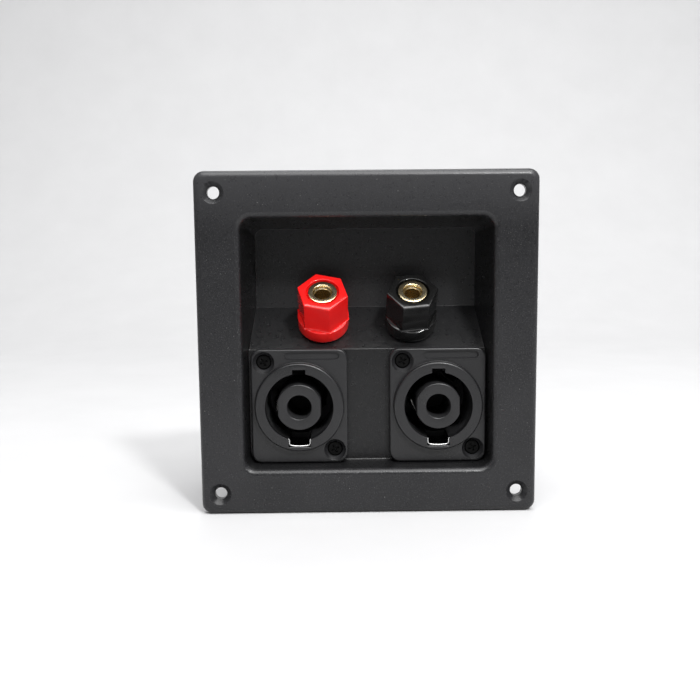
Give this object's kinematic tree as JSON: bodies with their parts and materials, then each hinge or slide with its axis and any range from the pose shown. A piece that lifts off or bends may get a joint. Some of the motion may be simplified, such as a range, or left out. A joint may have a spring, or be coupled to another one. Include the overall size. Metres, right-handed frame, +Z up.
{
  "type": "loudspeaker terminal plate",
  "caption": "Recessed loudspeaker terminal plate with twist-lock speaker sockets and a red and a black binding post on a sloping shelf.",
  "frame": {"origin": "centre of the four fixing holes, on the back face of the flange", "axes": "+X right as seen from the front, +Y into the cabinet, +Z up; the recess opens towards -Y"},
  "size_m": [0.0892, 0.0359, 0.0904],
  "materials": {
    "dish_plastic": "fine spark-grained moulded black ABS",
    "socket_plastic": "satin black glass-filled nylon",
    "core_plastic": "satin black moulded nylon",
    "latch_steel": "bright nickel-plated spring strip",
    "black_screw": "black-zinc screw",
    "contact_silver": "silver-plated spring bronze",
    "post_brass": "turned brass, thin gold flash",
    "red_cap": "glossy red moulding",
    "black_cap": "glossy black moulding",
    "red_bush": "red nylon bush",
    "black_bush": "black nylon bush",
    "tag_tin": "tinned brass tag",
    "nut_steel": "nickel-plated steel"
  },
  "bodies": {
    "plate": {"recess_plate": "dish_plastic", "left_socket_shell": "socket_plastic", "left_socket_core": "core_plastic", "left_latch_plate": "latch_steel", "left_socket_screws": "black_screw", "left_contact_a": "contact_silver", "left_contact_b": "contact_silver", "left_contact_c": "contact_silver", "left_contact_d": "contact_silver", "right_socket_shell": "socket_plastic", "right_socket_core": "core_plastic", "right_latch_plate": "latch_steel", "right_socket_screws": "black_screw", "right_contact_a": "contact_silver", "right_contact_b": "contact_silver", "right_contact_c": "contact_silver", "right_contact_d": "contact_silver", "red_stud": "post_brass", "red_front_bush": "red_bush", "red_rear_bush": "red_bush", "red_solder_tag": "tag_tin", "red_lock_washer": "nut_steel", "red_nut": "nut_steel", "black_stud": "post_brass", "black_front_bush": "black_bush", "black_rear_bush": "black_bush", "black_solder_tag": "tag_tin", "black_lock_washer": "nut_steel", "black_nut": "nut_steel"},
    "red_swivel": {"red_clamp_washer": "post_brass"},
    "red_knob": {"red_cap": "red_cap", "red_cap_sleeve": "post_brass"},
    "black_swivel": {"black_clamp_washer": "post_brass"},
    "black_knob": {"black_cap": "black_cap", "black_cap_sleeve": "post_brass"}
  },
  "joints": [
    {"name": "red_cap_lift", "type": "slide", "parent": "plate", "child": "red_swivel", "axis": [0, -0.682, 0.7314], "range_m": [0, 0.005]},
    {"name": "red_cap_turn", "type": "hinge", "parent": "red_swivel", "child": "red_knob", "pos_m": [-0.0118, 0.01234, 0.0039], "axis": [0, -0.682, 0.7314], "range_deg": [0, 1800]},
    {"name": "black_cap_lift", "type": "slide", "parent": "plate", "child": "black_swivel", "axis": [0, -0.682, 0.7314], "range_m": [0, 0.005]},
    {"name": "black_cap_turn", "type": "hinge", "parent": "black_swivel", "child": "black_knob", "pos_m": [0.0122, 0.01234, 0.0039], "axis": [0, -0.682, 0.7314], "range_deg": [0, 1800]}
  ],
  "couplings": [
    {"joint": "red_cap_lift", "follows": "red_cap_turn", "m_per_rad": 0.00015915},
    {"joint": "black_cap_lift", "follows": "black_cap_turn", "m_per_rad": 0.00015915}
  ]
}
